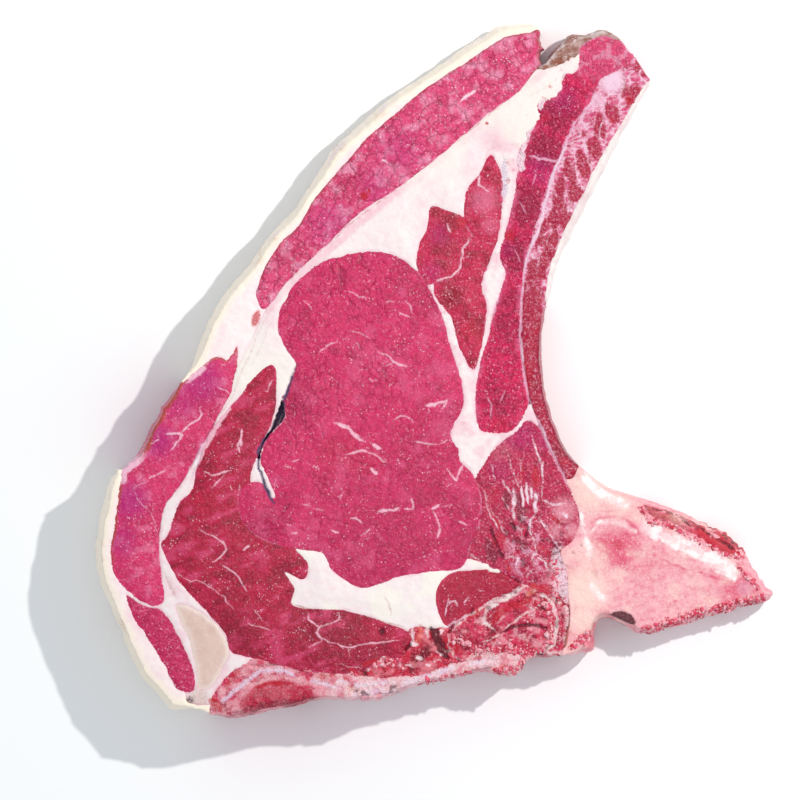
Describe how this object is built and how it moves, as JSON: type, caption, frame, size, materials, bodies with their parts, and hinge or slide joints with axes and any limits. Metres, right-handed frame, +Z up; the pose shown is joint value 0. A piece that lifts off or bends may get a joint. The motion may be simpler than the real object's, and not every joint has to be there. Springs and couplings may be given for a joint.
{
  "type": "raw ribeye steak",
  "caption": "Raw bone-in ribeye steak slice: marbled red muscles parted by white fat, with a fat edge, sawn chine bone and rib side, lying flat with the cut face up.",
  "frame": {"origin": "middle of the steak's underside", "axes": "+Z up through the cut face, +X towards the vertebra's tip, +Y towards the rib ends"},
  "size_m": [0.2567, 0.263, 0.0401],
  "materials": {
    "lean": "moist raw red beef lean with pale fat veins and fine grain",
    "dark_lean": "moist darker red lean",
    "fat": "waxy white to cream beef fat",
    "bone": "sawn pink bone with white patches and a red spongy rim",
    "spongy_bone": "red spongy bone inside a pale shell",
    "sinew": "smooth grey-beige ligament and sinew",
    "lining": "pale cream membrane along the rib side"
  },
  "bodies": {
    "root": {"eye_muscle": "lean", "cap_muscle": "dark_lean", "back_muscle": "lean", "outer_left_upper": "lean", "outer_left_lower": "lean", "lobe_upper": "lean", "lobe_inner": "lean", "lobe_lower": "lean", "rib_inner": "dark_lean", "deep_muscle": "lean", "oval_muscle": "dark_lean", "rib_lining": "lining", "rib_outer": "lean", "rib_flap": "sinew", "lamina": "spongy_bone", "vertebra": "bone", "feather_bone": "spongy_bone", "ligament": "sinew", "trimmed_meat": "dark_lean", "bottom_fat": "fat", "middle_fat": "fat", "inner_fat": "fat", "seam_fat": "fat", "side_fat": "fat", "outer_fat": "fat"}
  },
  "joints": []
}
